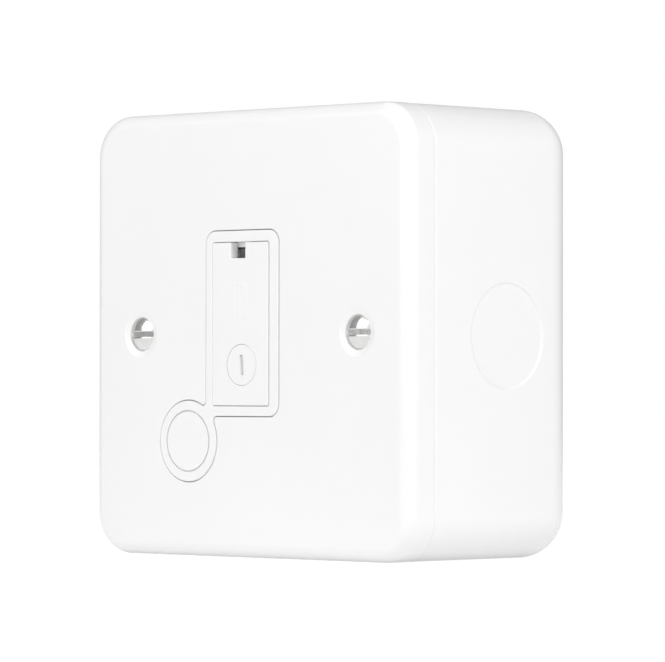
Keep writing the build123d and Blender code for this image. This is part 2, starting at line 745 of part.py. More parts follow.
for name, direction in {"fuse_cap_upper": 1, "fuse_cap_lower": -1}.items():
    with BuildPart() as fuse_cap:
        with BuildSketch(Plane.XY.offset(carrier_z + direction * fuse_end)):
            with Locations((carrier_x, -fuse_depth)):
                Circle(cap_radius)
        extrude(amount=-direction * cap_length)
        with BuildSketch(Plane.XY.offset(carrier_z + direction * (fuse_end - cap_thickness))):
            with Locations((carrier_x, -fuse_depth)):
                Circle(tube_radius)
        extrude(amount=-direction * (cap_length - cap_thickness), mode=Mode.SUBTRACT)
    fuse_cap.part.label = name
    export_step(fuse_cap.part, f"parts/{name}.step")

# Flex clamp: bar on two bosses, with a bump over the saddle, and its two screws
clamp_end_radius = min(clamp_corner, clamp_width / 2 - match_tolerance)
with BuildPart() as cord_clamp:
    with BuildSketch(level(clamp_seat - clamp_thickness)):
        with Locations((clamp_x, clamp_z)):
            RectangleRounded(clamp_pitch + 2 * clamp_end_margin, clamp_width, clamp_end_radius)
    extrude(amount=clamp_thickness)
    with BuildSketch(level(clamp_seat)):
        with Locations((clamp_x, clamp_z)):
            Rectangle(clamp_saddle_width, clamp_width / 3)
    extrude(amount=clamp_bump)
    with BuildSketch(level(clamp_seat - clamp_thickness)):
        with Locations(*clamp_places):
            Circle(clamp_screw_radius + thread_clearance)
    extrude(amount=clamp_thickness, mode=Mode.SUBTRACT)
cord_clamp.part.label = "cord_clamp"
export_step(cord_clamp.part, "parts/cord_clamp.step")

clamp_screws = rear_screws(
    clamp_places,
    clamp_seat - clamp_thickness,
    clamp_screw_radius,
    clamp_thickness + clamp_boss_height - clamp_screw_tip,
    clamp_head_radius,
    clamp_head_height,
)
clamp_screws.label = "clamp_screws"
export_step(clamp_screws, "parts/clamp_screws.step")
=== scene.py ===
"""White fused connection unit on its surface box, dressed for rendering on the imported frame."""

import math

import bmesh
import bpy
import numpy as np
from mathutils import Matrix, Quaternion, Vector
from mathutils.geometry import delaunay_2d_cdt


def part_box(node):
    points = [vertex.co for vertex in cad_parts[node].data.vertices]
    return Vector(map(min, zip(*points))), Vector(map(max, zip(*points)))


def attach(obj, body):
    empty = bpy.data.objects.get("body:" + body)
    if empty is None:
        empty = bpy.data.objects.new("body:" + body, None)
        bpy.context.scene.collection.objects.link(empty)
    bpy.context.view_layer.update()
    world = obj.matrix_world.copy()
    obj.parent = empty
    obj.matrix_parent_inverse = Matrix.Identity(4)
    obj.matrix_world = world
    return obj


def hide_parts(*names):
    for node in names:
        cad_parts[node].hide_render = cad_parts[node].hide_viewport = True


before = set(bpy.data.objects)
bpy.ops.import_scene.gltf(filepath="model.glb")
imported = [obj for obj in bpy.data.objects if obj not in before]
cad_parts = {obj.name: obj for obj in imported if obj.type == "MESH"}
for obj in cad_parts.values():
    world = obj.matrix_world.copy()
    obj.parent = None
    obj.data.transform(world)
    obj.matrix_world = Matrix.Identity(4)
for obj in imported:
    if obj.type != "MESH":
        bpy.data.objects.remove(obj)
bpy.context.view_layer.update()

# Surface box
# A deep box moulded in one piece from glossy white urea, with well rounded back edges and a thin round
# knock-out for conduit in each wall. Two hollow pillars inside take the plate screws, and four slots in
# its back take the wall screws.
MM = 0.001
seam_gap = 2e-6
fill_gap = 1e-6
sharp_turn = math.radians(35)
half_width = 44.0
box_corner_centre = 35.0
box_corner_radius = half_width - box_corner_centre
corner_steps = 16
box_depth = 41.45
box_wall = 2.4
rear_rounding = 8.0
rim_rounding = 0.5
knockout_radius = 10.45
knockout_depth = 21.1
knockout_drop = 0.6
knockout_steps = 96
recess_depth = 0.3
recess_slope = 0.5
groove_width = 0.5
groove_depth = 0.9
groove_rounding = 0.12
lip_share = 0.3
slot_place = 25.4
slot_run = 2.5
slot_radius = 2.5
slot_rounding = 0.2
screw_x = 30.15
pillar_radius = 4.5
pillar_top = 37.95
pillar_chamfer = 0.3
pillar_steps = 48
insert_radius = 3.1
insert_length = 9.0
core_radius = 2.1
core_end = 15.95
rib_half_width = 0.9
rib_half_run = 2.0
rib_corner = 0.4
rib_offset = 6.0
rib_top = 17.2
root_depth = box_wall / 2


def arc(centre, radius, start, end, steps):
    """Points on a circle about a centre, evenly spaced from the start to the end angle in degrees."""
    turn = np.radians(np.linspace(start, end, steps + 1))
    return np.stack([centre[0] + radius * np.cos(turn), centre[1] + radius * np.sin(turn)], axis=-1)


def ring(centre, radius, steps):
    """A full circle of points about a centre, the last one step short of the first."""
    return arc(centre, radius, 0, 360, steps)[:-1]


def long_slot(centre, radius):
    """A slot's outline: half a circle at each end of a level run."""
    right = arc((centre[0] + slot_run, centre[1]), radius, -90, 90, 16)
    left = arc((centre[0] - slot_run, centre[1]), radius, 90, 270, 16)
    return np.vstack([right, left])


def carry_round(profile, centre_x, centre_z, radius, steps):
    """A profile of (inset, depth) points carried round a rectangle with round corners. Each corner is a
    quarter circle about a fixed centre, and its radius is the corner radius less the inset."""
    profile = np.asarray(profile)
    turn = np.radians((np.linspace(0, 90, steps + 1) + 90 * np.arange(4)[:, None]).ravel())
    reach = radius - profile[:, :1]
    x = centre_x * np.repeat([1, -1, -1, 1], steps + 1) + reach * np.cos(turn)
    z = centre_z * np.repeat([1, 1, -1, -1], steps + 1) + reach * np.sin(turn)
    return np.stack([x, np.broadcast_to(-profile[:, 1:], x.shape), z], axis=-1)


def carry_outline(outlines, depths):
    """Flat outlines of the same number of points set one behind the other, each at its own depth."""
    outlines = np.asarray(outlines)
    y = np.broadcast_to(-np.asarray(depths)[:, None], outlines.shape[:2])
    return np.stack([outlines[..., 0], y, outlines[..., 1]], axis=-1)


def revolve(profile, centre, steps):
    """A profile of (radius, depth) points turned about a line through the centre, square to the wall."""
    profile = np.asarray(profile)
    return carry_outline([ring(centre, radius, steps) for radius in profile[:, 0]], profile[:, 1])


def skin(rows, skip=None):
    """Quads between neighbouring rows of points, each row a closed loop. Skip marks the quads left open."""
    count, length = rows.shape[:2]
    index = np.arange(count * length).reshape(count, length)
    beside = np.roll(index, -1, axis=1)
    quads = np.stack([index[:-1], beside[:-1], beside[1:], index[1:]], axis=-1)
    kept = quads.reshape(-1, 4) if skip is None else quads[~skip]
    return rows.reshape(-1, 3), kept


def inside(points, loop):
    """Which points are inside a loop: a line to the right from such a point crosses the loop an odd number
    of times."""
    ends = np.roll(loop, -1, axis=0)
    across, up = points[:, :1], points[:, 1:]
    spans = (loop[:, 1] > up) != (ends[:, 1] > up)
    rise = np.where(ends[:, 1] == loop[:, 1], 1.0, ends[:, 1] - loop[:, 1])
    meets = loop[:, 0] + (up - loop[:, 1]) * (ends[:, 0] - loop[:, 0]) / rise
    return np.sum(spans & (across < meets), axis=1) % 2 == 1


def fill(outer, holes, place):
    """A flat face inside an outer loop and outside its holes, cut into triangles between the loops' points.
    Place gives each flat point its place in space."""
    loops = [np.asarray(loop) for loop in (outer, *holes)]
    starts = np.cumsum([0] + [len(loop) for loop in loops])
    rims = [np.arange(len(loop)) + start for loop, start in zip(loops, starts)]
    edges = np.vstack([np.stack([rim, np.roll(rim, -1)], axis=1) for rim in rims])
    corners = [Vector(point) for point in np.vstack(loops).tolist()]
    made, _, triangles, *_ = delaunay_2d_cdt(corners, edges.tolist(), [], 1, fill_gap)
    flat = np.array([tuple(point) for point in made])
    faces = np.array(triangles)
    middles = flat[faces].mean(axis=1)
    wanted = inside(middles, loops[0])
    for hole in loops[1:]:
        wanted &= ~inside(middles, hole)
    return place(flat), faces[wanted]


def at_depth(depth):
    """Places flat (x, z) points at a depth from the wall."""
    return lambda flat: np.stack([flat[:, 0], np.full(len(flat), -depth), flat[:, 1]], axis=-1)


def on_side(quarter, reach):
    """Places flat (along, depth) points on a plane at a reach from the middle of the box, on its right and
    then turned round the box by quarter turns."""
    turn = np.radians(90 * quarter)

    def place(flat):
        x = reach * np.cos(turn) - flat[:, 0] * np.sin(turn)
        z = reach * np.sin(turn) + flat[:, 0] * np.cos(turn)
        return np.stack([x, -flat[:, 1], z], axis=-1)

    return place


def sunk_rings(profile, centre, planes):
    """Rings about one centre, one for each (radius, sunk) point of a profile, each put on its own plane."""
    rings = [ring(centre, radius, knockout_steps) for radius, sunk in profile]
    return np.stack([plane(flat) for plane, flat in zip(planes, rings)])


def make_piece(name, patches, finish, body, nodes=()):
    """Joins patches of points and faces into one mesh in metres, closes the seams between them, turns the
    faces outwards and shades the result smooth between its sharp edges."""
    starts = np.cumsum([0] + [len(points) for points, faces in patches])
    points = np.vstack([points for points, faces in patches]) * MM
    faces = [face for (_, part), start in zip(patches, starts) for face in (part + start).tolist()]
    mesh = bpy.data.meshes.new(name)
    mesh.from_pydata(points.tolist(), [], faces)
    shell = bmesh.new()
    shell.from_mesh(mesh)
    bmesh.ops.remove_doubles(shell, verts=shell.verts, dist=seam_gap)
    bmesh.ops.recalc_face_normals(shell, faces=shell.faces)
    shell.to_mesh(mesh)
    shell.free()
    mesh.shade_smooth()
    mesh.set_sharp_from_angle(angle=sharp_turn)
    mesh.materials.append(finish)
    piece = bpy.data.objects.new(name, mesh)
    bpy.context.scene.collection.objects.link(piece)
    shading = piece.modifiers.new("even_shading", "WEIGHTED_NORMAL")
    shading.keep_sharp = True
    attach(piece, body)
    if nodes:
        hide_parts(*nodes)
    return piece


def add_node(tree, kind, **inputs):
    """A shader node of a kind, with its named inputs set. An underscore stands for a space in a name."""
    node = tree.nodes.new(kind)
    for name, value in inputs.items():
        node.inputs[name.replace("_", " ")].default_value = value
    return node


def new_finish(name, **inputs):
    """A material with its shader's plain sockets set, and the point on the piece that its patterns read."""
    finish = bpy.data.materials.new(name)
    finish.use_nodes = True
    tree = finish.node_tree
    shader = tree.nodes["Principled BSDF"]
    for socket, value in inputs.items():
        shader.inputs[socket.replace("_", " ")].default_value = value
    place = tree.nodes.new("ShaderNodeTexCoord").outputs["Object"]
    return finish, tree, shader, place


def patchy(tree, place, scale, detail, low, high):
    """Noise at a scale per metre, mapped from its middle range to the range from low to high."""
    noise = add_node(tree, "ShaderNodeTexNoise", Scale=scale, Detail=detail)
    tree.links.new(place, noise.inputs["Vector"])
    span = add_node(tree, "ShaderNodeMapRange", From_Min=0.3, From_Max=0.7, To_Min=low, To_Max=high)
    tree.links.new(noise.outputs["Fac"], span.inputs["Value"])
    return span.outputs["Result"]


def tinted(tree, share, first, second):
    """A colour between two close ones, by a share from 0 to 1."""
    blend = tree.nodes.new("ShaderNodeMix")
    blend.data_type = "RGBA"
    blend.inputs["A"].default_value = (*first, 1)
    blend.inputs["B"].default_value = (*second, 1)
    tree.links.new(share, blend.inputs["Factor"])
    return blend.outputs["Result"]


def rippled(tree, height, depth, edge):
    """A normal with a fine relief of a depth in metres, on top of edges that shade as if rounded."""
    rounded = tree.nodes.new("ShaderNodeBevel")
    rounded.samples = 6
    rounded.inputs["Radius"].default_value = edge
    relief = add_node(tree, "ShaderNodeBump", Strength=1.0, Distance=depth)
    tree.links.new(height, relief.inputs["Height"])
    tree.links.new(rounded.outputs["Normal"], relief.inputs["Normal"])
    return relief.outputs["Normal"]


def moulded_plastic(name, first, second, smooth, rough, peel, edge):
    """Moulded plastic: a tone that drifts a little over the moulding, gloss that varies, and a faint peel."""
    finish, tree, shader, place = new_finish(name, IOR=1.5)
    drift = patchy(tree, place, scale=45, detail=2, low=0, high=1)
    gloss = patchy(tree, place, scale=160, detail=3, low=smooth, high=rough)
    grain = patchy(tree, place, scale=620, detail=1, low=0, high=1)
    tree.links.new(tinted(tree, drift, first, second), shader.inputs["Base Color"])
    tree.links.new(gloss, shader.inputs["Roughness"])
    tree.links.new(rippled(tree, grain, peel, edge), shader.inputs["Normal"])
    return finish


urea = {
    "first": (0.893, 0.893, 0.891),
    "second": (0.9, 0.9, 0.898),
    "smooth": 0.22,
    "rough": 0.26,
    "peel": 1.2e-6,
}
white_urea = moulded_plastic("white_urea", **urea, edge=0.00022)

rear_arc = arc((rear_rounding, rear_rounding), rear_rounding, 180, 270, 14)
floor_arc = arc((rear_rounding, rear_rounding), rear_rounding - box_wall, 270, 180, 10)
rim_arc = arc((rim_rounding, box_depth - rim_rounding), rim_rounding, 90, 180, 5)
box_profile = np.vstack([floor_arc, [(box_wall, box_depth)], rim_arc, rear_arc])
box_rows = carry_round(
    box_profile, box_corner_centre, box_corner_centre, box_corner_radius, corner_steps
)
flat_side = np.zeros((len(box_profile) - 1, box_rows.shape[1]), dtype=bool)
for row in (len(floor_arc) - 1, len(floor_arc) + len(rim_arc)):
    flat_side[row, corner_steps :: corner_steps + 1] = True
box_patches = [skin(box_rows, flat_side)]

side_edge = [
    (-box_corner_centre, rear_rounding),
    (box_corner_centre, rear_rounding),
    (box_corner_centre, box_depth - rim_rounding),
    (-box_corner_centre, box_depth - rim_rounding),
]
inner_edge = side_edge[:2] + [(box_corner_centre, box_depth), (-box_corner_centre, box_depth)]
slope = np.linspace(0, 1, 9)
recess_profile = np.stack(
    [knockout_radius - recess_slope * slope, recess_depth * (0.5 - 0.5 * np.cos(np.pi * slope))], axis=1
)
groove_inner = knockout_radius - groove_width
groove_profile = [
    (knockout_radius + groove_rounding, 0),
    (knockout_radius + groove_rounding * lip_share, groove_rounding * lip_share),
    (knockout_radius, groove_rounding),
    (knockout_radius, groove_depth),
    (groove_inner, groove_depth),
    (groove_inner, groove_rounding),
    (groove_inner - groove_rounding * lip_share, groove_rounding * lip_share),
    (groove_inner - groove_rounding, 0),
]
groove_disc = groove_inner - groove_rounding
inner_face = half_width - box_wall
for quarter, drop in enumerate((-knockout_drop, 0, knockout_drop, 0)):
    middle = (drop, knockout_depth)
    mouth = ring(middle, knockout_radius, knockout_steps)
    floor = ring(middle, knockout_radius - recess_slope, knockout_steps)
    planes = [on_side(quarter, half_width - sunk) for radius, sunk in recess_profile]
    box_patches.append(fill(side_edge, [mouth], planes[0]))
    box_patches.append(skin(sunk_rings(recess_profile, middle, planes)))
    box_patches.append(fill(floor, [], planes[-1]))
    mouth = ring(middle, knockout_radius + groove_rounding, knockout_steps)
    disc = ring(middle, groove_disc, knockout_steps)
    planes = [on_side(quarter, inner_face + sunk) for radius, sunk in groove_profile]
    box_patches.append(fill(inner_edge, [mouth], planes[0]))
    box_patches.append(skin(sunk_rings(groove_profile, middle, planes)))
    box_patches.append(fill(disc, [], planes[-1]))

slot_centres = [(x, z) for x in (-slot_place, slot_place) for z in (-slot_place, slot_place)]
slot_mouths = [long_slot(centre, slot_radius + slot_rounding) for centre in slot_centres]
slot_profile = [
    (slot_rounding, 0),
    (slot_rounding * lip_share, slot_rounding * lip_share),
    (0, slot_rounding),
    (0, box_wall - slot_rounding),
    (slot_rounding * lip_share, box_wall - slot_rounding * lip_share),
    (slot_rounding, box_wall),
]
for centre in slot_centres:
    outlines = [long_slot(centre, slot_radius + grow) for grow, depth in slot_profile]
    box_patches.append(skin(carry_outline(outlines, [depth for grow, depth in slot_profile])))
back_edge = box_rows[-1][:, [0, 2]]
floor_edge = box_rows[0][:, [0, 2]]
mouth = ring((0, 0), knockout_radius + groove_rounding, knockout_steps)
disc = ring((0, 0), groove_disc, knockout_steps)
planes = [at_depth(sunk) for radius, sunk in groove_profile]
box_patches.append(fill(back_edge, [mouth, *slot_mouths], at_depth(0)))
box_patches.append(skin(sunk_rings(groove_profile, (0, 0), planes)))
box_patches.append(fill(disc, [], at_depth(0)))
box_patches.append(fill(floor_edge, slot_mouths, at_depth(box_wall)))

pillar_profile = [
    (0, root_depth),
    (pillar_radius, root_depth),
    (pillar_radius, pillar_top - pillar_chamfer),
    (pillar_radius - pillar_chamfer, pillar_top),
    (insert_radius, pillar_top),
    (insert_radius, pillar_top - insert_length),
    (core_radius, pillar_top - insert_length),
    (core_radius, core_end),
    (0, core_end),
]
rib_profile = [(0, root_depth), (0, rib_top - pillar_chamfer), (pillar_chamfer, rib_top)]
rib_shape = carry_round(rib_profile, rib_half_width - rib_corner, rib_half_run - rib_corner, rib_corner, 3)
for x in (-screw_x, screw_x):
    box_patches.append(skin(revolve(pillar_profile, (x, 0), pillar_steps)))
    for z in (-rib_offset, rib_offset):
        rib = rib_shape + np.array([x, 0, z])
        box_patches.append(skin(rib))
        box_patches.append(fill(rib[0][:, [0, 2]], [], at_depth(root_depth)))
        box_patches.append(fill(rib[-1][:, [0, 2]], [], at_depth(rib_top)))
make_piece("box_moulding", box_patches, white_urea, "unit", ["back_box"])

# Threaded inserts
# Two brass bushes, turned and knurled, and pressed flush into the box's pillars. The plate screws go into
# their threads.
insert_bore = 1.75
bush_lead_in = 0.3
bush_end_run = 0.4
bush_top_break = 0.2
bore_break = 0.25
waist_half = 0.4
waist_slope = 0.2
waist_cut = 0.25
knurl_depth = 0.1
knurl_count = 32
knurl_steps = 4 * knurl_count
mark_depth = 1.2e-6


def turned_metal(name, first, second, smooth, rough, edge):
    """Turned or plated metal: a tone and a gloss that vary in fine patches, with faint tool marks."""
    finish, tree, shader, place = new_finish(name, Metallic=1.0)
    drift = patchy(tree, place, scale=300, detail=2, low=0, high=1)
    gloss = patchy(tree, place, scale=900, detail=3, low=smooth, high=rough)
    marks = patchy(tree, place, scale=2600, detail=2, low=0, high=1)
    tree.links.new(tinted(tree, drift, first, second), shader.inputs["Base Color"])
    tree.links.new(gloss, shader.inputs["Roughness"])
    tree.links.new(rippled(tree, marks, mark_depth, edge), shader.inputs["Normal"])
    return finish


brass = turned_metal(
    "turned_brass", (0.72, 0.54, 0.25), (0.8, 0.63, 0.33), smooth=0.2, rough=0.34, edge=0.0001
)


def knurled_bush(centre):
    """A bush's rows: rings down its bore, across its ends and up its outside, where the radius goes in and
    out by the knurl's depth as a cosine of the turn, except in a plain groove half way."""
    turn = np.radians(np.linspace(0, 360, knurl_steps + 1))[:-1]
    bottom = pillar_top - insert_length
    middle = (bottom + pillar_top) / 2
    profile = np.array(
        [
            (insert_bore, bottom, 0),
            (insert_radius - bush_lead_in, bottom, 0),
            (insert_radius, bottom + bush_end_run, 1),
            (insert_radius, middle - waist_half - waist_slope, 1),
            (insert_radius - waist_cut, middle - waist_half, 0),
            (insert_radius - waist_cut, middle + waist_half, 0),
            (insert_radius, middle + waist_half + waist_slope, 1),
            (insert_radius, pillar_top - bush_end_run, 1),
            (insert_radius - bush_top_break, pillar_top, 0),
            (insert_bore + bore_break, pillar_top, 0),
            (insert_bore, pillar_top - bore_break, 0),
            (insert_bore, bottom, 0),
        ]
    )
    cut = knurl_depth * (0.5 + 0.5 * np.cos(knurl_count * turn))
    reach = profile[:, :1] - profile[:, 2:] * cut
    outlines = np.stack([centre[0] + reach * np.cos(turn), centre[1] + reach * np.sin(turn)], axis=-1)
    return carry_outline(outlines, profile[:, 1])


for side, x in (("left", -screw_x), ("right", screw_x)):
    bush = [skin(knurled_bush((x, 0)))]
    make_piece(f"knurled_bush_{side}", bush, brass, "unit", [f"box_insert_{side}"])

# Fuse housing
# The insert that fills the plate's aperture flush, moulded in one piece with the flex outlet's round collar,
# the carrier's tunnel and the pockets for the terminals. Its flange lies behind the plate.


def solid_mesh(node):
    """A solid's own points, in millimetres, and its triangles."""
    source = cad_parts[node].data
    points = np.empty(3 * len(source.vertices))
    source.vertices.foreach_get("co", points)
    corners = np.empty(len(source.loops), dtype=np.int32)
    source.loops.foreach_get("vertex_index", corners)
    return points.reshape(-1, 3) / MM, corners.reshape(-1, 3)


make_piece(
    "housing_moulding", [solid_mesh("fuse_housing")], white_urea, "unit", ["fuse_housing"]
)

# Terminals
# Pillar blocks and link bars milled from brass, each with a bore for the wires and a screw from behind that
# clamps them. They drop into pockets of the housing.


def dress(node, finish):
    """Gives a solid's object one finish all over."""
    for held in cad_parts[node].material_slots:
        held.material = finish


terminal_parts = ("live_supply_terminal", "live_load_terminal", "neutral_bar", "earth_bar", "terminal_screws")
for node in terminal_parts:
    dress(node, brass)

# Fuse contacts
# Two clips pressed from springy bronze strip, which grip the fuse's caps. Each strap runs to its live
# terminal.
bronze = turned_metal(
    "bronze_strip", (0.66, 0.43, 0.25), (0.74, 0.51, 0.31), smooth=0.24, rough=0.38, edge=0.0001
)
for node in ("supply_contact", "load_contact"):
    dress(node, bronze)

# Rear cover
# A matt grey insulating cover that closes the housing from behind, held with long plated steel screws that go
# through the housing into the plate's stubs.
grey_nylon = moulded_plastic(
    "grey_nylon", (0.36, 0.37, 0.38), (0.42, 0.43, 0.44), smooth=0.5, rough=0.62, peel=4e-6, edge=0.00025
)
zinc_plate = turned_metal(
    "zinc_plate", (0.6, 0.61, 0.62), (0.7, 0.71, 0.72), smooth=0.24, rough=0.4, edge=0.0001
)
dress("terminal_cover", grey_nylon)
dress("case_screws", zinc_plate)

# Flex clamp
# A bar of the same grey nylon above the outlet, which two plated steel screws draw onto the flex, so that a
# pull on it doesn't reach the terminals.
dress("cord_clamp", grey_nylon)
dress("clamp_screws", zinc_plate)

# Front plate
# A skirted plate of the same white urea as the box, with a soft front edge, the insert's aperture, and two
# dished holes for its screws. Hubs, ribs and screw stubs stand on its back.
front = 48.7
face_rear = 45.9
corner_centre = 35.5
corner_radius = half_width - corner_centre
plate_wall = 2.6
front_rounding = 2.8
skirt_rounding = 0.3
frame_left, frame_right = -11.42, 8.88
frame_bottom, frame_top = -16.27, 20.16
frame_corner = 2.6
collar_centre = (-16.45, -21.25)
collar_radius = 8.05
throat_radius = 0.9
aperture_gap = 0.12
aperture_lean = 0.07
aperture_rounding = 0.25
dish_radius = 4.8
dish_sphere = 16.8
seat_depth = 48.0
seat_radius = 3.35
seat_lip = 0.15
seat_break = 0.04
seat_drop = 0.05
dish_steps = 72
hole_radius = 2.1
hub_radius = 4.3
hub_rib_half = 0.8
hub_rib_half_run = 2.5
hub_rib_middle = 39.4
hub_rib_corner = 0.1
hub_rib_root = 1.0
stub_radius = 2.5
stub_bore = 1.5
stub_end = 37.7
stub_steps = 32
stub_places = [(-15.12, 16.46), (-15.12, 0.36), (19.58, 27.01), (19.58, -23.12)]


def insert_outline(grow):
    """The insert's outline, grown outwards: arcs at three corners of its frame and round the collar, and two
    small hollow arcs in the throats between them, whose radius shrinks as the rest grows."""
    corner = frame_corner + grow
    throat = throat_radius - grow
    reach = collar_radius + throat_radius
    upper_turn = math.degrees(math.acos((frame_left - throat_radius - collar_centre[0]) / reach))
    lower_turn = math.degrees(math.asin((frame_bottom - throat_radius - collar_centre[1]) / reach))
    throat_upper = arc(collar_centre, reach, upper_turn, upper_turn, 0)[0]
    throat_lower = arc(collar_centre, reach, lower_turn, lower_turn, 0)[0]
    right, left = frame_right - frame_corner, frame_left + frame_corner
    top, bottom = frame_top - frame_corner, frame_bottom + frame_corner
    parts = [
        arc((right, top), corner, 0, 90, 10),
        arc((left, top), corner, 90, 180, 10),
        arc(throat_upper, throat, 0, upper_turn - 180, 8),
        arc(collar_centre, collar_radius + grow, upper_turn, lower_turn + 360, 72),
        arc(throat_lower, throat, lower_turn + 180, 90, 8),
        arc((right, bottom), corner, 270, 360, 10),
    ]
    return np.vstack(parts) + np.array([aperture_lean, 0])


edge_arc = arc((front_rounding, front - front_rounding), front_rounding, 180, 90, 12)
skirt_arc = arc((skirt_rounding, box_depth + skirt_rounding), skirt_rounding, 270, 180, 5)
plate_profile = np.vstack([[(plate_wall, face_rear), (plate_wall, box_depth)], skirt_arc, edge_arc])
plate_rows = carry_round(plate_profile, corner_centre, corner_centre, corner_radius, corner_steps)
plate_patches = [skin(plate_rows)]

aperture_profile = [
    (aperture_gap + aperture_rounding, front),
    (aperture_gap + aperture_rounding * lip_share, front - aperture_rounding * lip_share),
    (aperture_gap, front - aperture_rounding),
    (aperture_gap, face_rear),
]
aperture = [insert_outline(grow) for grow, depth in aperture_profile]
plate_patches.append(skin(carry_outline(aperture, [depth for grow, depth in aperture_profile])))

dish_reach = np.linspace(dish_radius, seat_radius + seat_lip, 10)
dish_depth = seat_depth + dish_sphere - np.sqrt(dish_sphere**2 - dish_reach**2)
dish_arc = np.stack([dish_reach, dish_depth], axis=1)
dish_profile = np.vstack(
    [
        dish_arc,
        [
            (seat_radius + seat_break, dish_arc[-1, 1] - seat_drop),
            (seat_radius, seat_depth),
            (hole_radius, seat_depth - seat_radius + hole_radius),
            (hole_radius, box_depth),
            (hub_radius, box_depth),
            (hub_radius, face_rear),
        ],
    ]
)
screw_centres = [(-screw_x, 0), (screw_x, 0)]
for centre in screw_centres:
    plate_patches.append(skin(revolve(dish_profile, centre, dish_steps)))
stub_profile = [
    (stub_radius, face_rear),
    (stub_radius, stub_end),
    (stub_bore, stub_end),
    (stub_bore, face_rear),
]
for centre in stub_places:
    plate_patches.append(skin(revolve(stub_profile, centre, stub_steps)))
    plate_patches.append(fill(ring(centre, stub_bore, stub_steps), [], at_depth(face_rear)))
dish_rims = [ring(centre, dish_radius, dish_steps) for centre in screw_centres]
hub_rims = [ring(centre, hub_radius, dish_steps) for centre in screw_centres]
stub_rims = [ring(centre, stub_radius, stub_steps) for centre in stub_places]
front_edge = plate_rows[-1][:, [0, 2]]
rear_edge = plate_rows[0][:, [0, 2]]
plate_patches.append(fill(front_edge, [aperture[0], *dish_rims], at_depth(front)))
plate_patches.append(fill(rear_edge, [aperture[-1], *hub_rims, *stub_rims], at_depth(face_rear)))

rib_root = face_rear + hub_rib_root
rib_centres = (hub_rib_half_run - hub_rib_corner, hub_rib_half - hub_rib_corner)
rib_shape = carry_round([(0, box_depth), (0, rib_root)], *rib_centres, hub_rib_corner, 2)
for x in (-hub_rib_middle, hub_rib_middle):
    rib = rib_shape + np.array([x, 0, 0])
    plate_patches.append(skin(rib))
    plate_patches.append(fill(rib[0][:, [0, 2]], [], at_depth(box_depth)))
    plate_patches.append(fill(rib[-1][:, [0, 2]], [], at_depth(rib_root)))
make_piece("plate_moulding", plate_patches, white_urea, "unit", ["front_plate"])

# Plate screws
# Two nickel-plated steel screws with raised countersunk heads and a level slot, turned down until the heads
# sit in the plate's dishes.
head_radius = 3.3
head_dome = 0.9
head_sphere = (head_radius**2 + head_dome**2) / (2 * head_dome)
drive_half = 0.5
drive_depth = 1.1
drive_rounding = 0.14
lip_fade = 0.2
shank_radius = 1.7
shank_length = 20.0
shank_point = 0.6
head_columns = 40
nickel = turned_metal(
    "bright_nickel", (0.69, 0.686, 0.675), (0.76, 0.756, 0.745), smooth=0.12, rough=0.22, edge=0.00008
)


def screw_rows(centre):
    """A head's rows, each at one height across it: the sphere's cap above and below the slot, with the slot's
    rounded lips, walls and floor between. Every row runs from the head's left rim to its right rim."""
    floor = head_dome - drive_depth
    outside = np.cos(np.linspace(0, np.pi / 2, 15))
    cap = drive_half + drive_rounding + (head_radius - drive_half - drive_rounding) * outside
    lips = drive_half + drive_rounding * np.array([lip_share, 0])
    drops = drive_rounding * np.array([lip_share, 1])
    up = np.concatenate([cap, lips, [drive_half]])
    sunk = np.concatenate([np.zeros(len(cap)), drops, [np.inf]])
    height = np.concatenate([up, -up[::-1]])
    sunk = np.concatenate([sunk, sunk[::-1]])
    on_floor = np.isinf(sunk)
    rim = np.where(on_floor, head_radius + floor, head_radius)
    half = np.sqrt(np.maximum(rim**2 - height**2, 0))
    across = half[:, None] * -np.cos(np.linspace(0, np.pi, head_columns + 1))
    square = np.minimum(across**2 + height[:, None] ** 2, head_radius**2)
    dome = np.sqrt(head_sphere**2 - square) - (head_sphere - head_dome)
    lip_drop = np.where(on_floor, 0, sunk)[:, None] * np.minimum(1, dome / lip_fade)
    rise = np.where(on_floor[:, None], floor, dome - lip_drop)
    x = centre[0] + across
    y = -(seat_depth + rise)
    z = centre[1] + np.broadcast_to(height[:, None], x.shape)
    return np.stack([x, y, z], axis=-1)


def sheet(rows):
    """Quads between neighbouring rows and columns of a grid of points that is open at its edges."""
    index = np.arange(rows.shape[0] * rows.shape[1]).reshape(rows.shape[:2])
    quads = np.stack([index[:-1, :-1], index[:-1, 1:], index[1:, 1:], index[1:, :-1]], axis=-1)
    return rows.reshape(-1, 3), quads.reshape(-1, 4)


for side, centre in zip(("left", "right"), screw_centres):
    head = screw_rows(centre)
    rim = np.vstack([head[:, -1], head[::-1, 0]])
    turn = np.arctan2(rim[:, 2] - centre[1], rim[:, 0] - centre[0])
    around = np.stack([np.cos(turn), np.sin(turn)], axis=-1)
    tip = seat_depth - shank_length
    shank_radii = [shank_radius, shank_radius, shank_radius - shank_point, 0]
    shank_depths = [seat_depth - head_radius + shank_radius, tip + shank_point, tip, tip]
    shank = carry_outline([centre + radius * around for radius in shank_radii], shank_depths)
    patches = [sheet(head), skin(np.concatenate([rim[None], shank]))]
    make_piece(f"raised_screw_{side}", patches, nickel, "unit", [f"plate_screw_{side}"])

